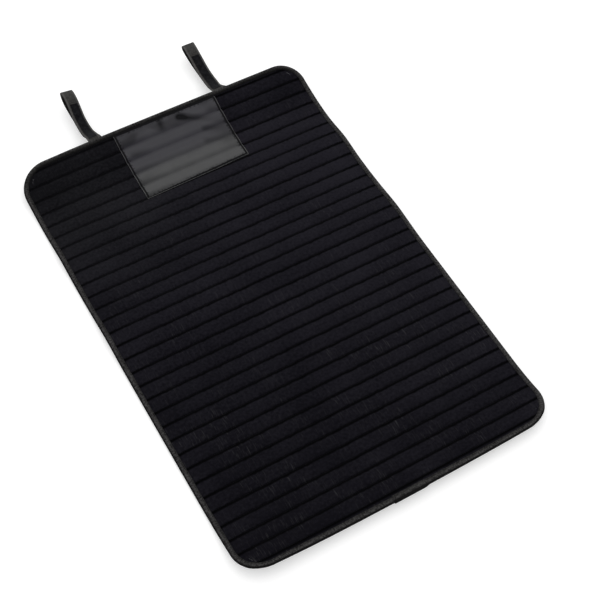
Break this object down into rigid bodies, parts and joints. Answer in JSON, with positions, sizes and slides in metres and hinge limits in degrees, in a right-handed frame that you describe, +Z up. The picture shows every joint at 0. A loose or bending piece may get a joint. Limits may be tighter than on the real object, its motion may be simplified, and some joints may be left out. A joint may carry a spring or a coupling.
{
  "type": "kayak roof pad",
  "caption": "Quilted protective roof pad with sewn cross channels, rounded corners, bound edge, bare vinyl patch and webbing loops along one end.",
  "frame": {"origin": "middle of the mat's flat underside, on the surface that it lies on", "axes": "+Z up out of the quilted face, +Y along the mat towards the edge with the webbing loops, +X across the mat to the right of somebody looking along +Y"},
  "size_m": [0.605, 1.0503, 0.0388],
  "materials": {
    "napped_knit": "black napped knit cloth, matte",
    "foam": "grey closed cell foam",
    "non_slip_backing": "black non-slip coated cloth",
    "binding_tape": "ribbed dark grey woven tape",
    "patch_vinyl": "dark grey satin vinyl",
    "webbing": "dark grey woven webbing",
    "hook_tape": "near black hook tape"
  },
  "bodies": {
    "root": {"face_fabric": "napped_knit", "foam_core": "foam", "backing_sheet": "non_slip_backing", "edge_binding": "binding_tape", "label_patch": "patch_vinyl", "strap_left": "webbing", "strap_right": "webbing", "strap_left_hook_tape": "hook_tape", "strap_right_hook_tape": "hook_tape"}
  },
  "joints": []
}
